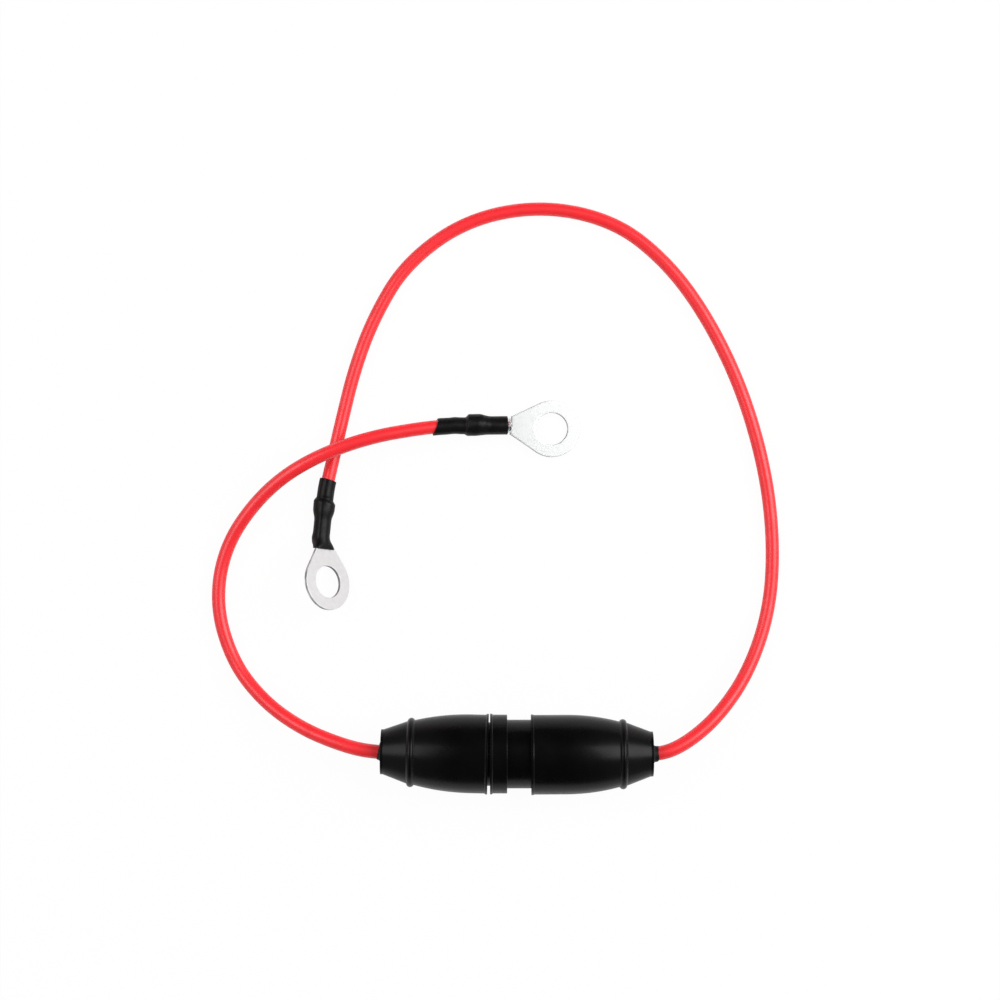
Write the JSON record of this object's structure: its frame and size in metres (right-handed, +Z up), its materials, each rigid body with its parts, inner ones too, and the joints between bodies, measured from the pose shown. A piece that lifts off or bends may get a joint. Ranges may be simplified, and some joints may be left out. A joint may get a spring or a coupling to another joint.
{
  "type": "in-line fuse holder lead",
  "caption": "Black push-together in-line fuse holder with a cartridge fuse inside, and a red wire from each end to a bare ring terminal under heat-shrink.",
  "frame": {"origin": "on the floor under the middle of the closed holder, without its wires", "axes": "+X along the holder from the half that pulls off to the half that stays, +Y towards the side where both wires curl round, +Z up"},
  "size_m": [0.1369, 0.1423, 0.0192],
  "materials": {
    "black_housing": "satin",
    "fuse_glass": "gloss",
    "plated_brass": "polished",
    "contact_brass": "satin",
    "spring_steel": "satin",
    "black_sleeve": "satin",
    "bare_copper": "satin",
    "red_insulation": "satin",
    "tinned_brass": "satin",
    "heat_shrink_tube": "matte"
  },
  "bodies": {
    "root": {"right_shell": "black_housing", "centre_sleeve": "black_housing", "fuse_tube": "fuse_glass", "fuse_cap_left": "plated_brass", "fuse_cap_right": "plated_brass", "fuse_element": "bare_copper", "contact_cup_right": "contact_brass", "contact_spring_right": "spring_steel", "wire_sleeve_right": "black_sleeve", "holder_strands_right": "bare_copper", "right_lead": "red_insulation", "terminal_strands_right": "bare_copper", "ring_terminal_right": "tinned_brass", "heat_shrink_right": "heat_shrink_tube"},
    "left_half": {"left_shell": "black_housing", "contact_cup_left": "contact_brass", "contact_spring_left": "spring_steel", "wire_sleeve_left": "black_sleeve", "holder_strands_left": "bare_copper", "left_lead": "red_insulation", "terminal_strands_left": "bare_copper", "ring_terminal_left": "tinned_brass", "heat_shrink_left": "heat_shrink_tube"}
  },
  "joints": [
    {"name": "pull_apart", "type": "slide", "parent": "root", "child": "left_half", "axis": [-0.9997, 0.0227, 0], "range_m": [0, 0.02]}
  ]
}
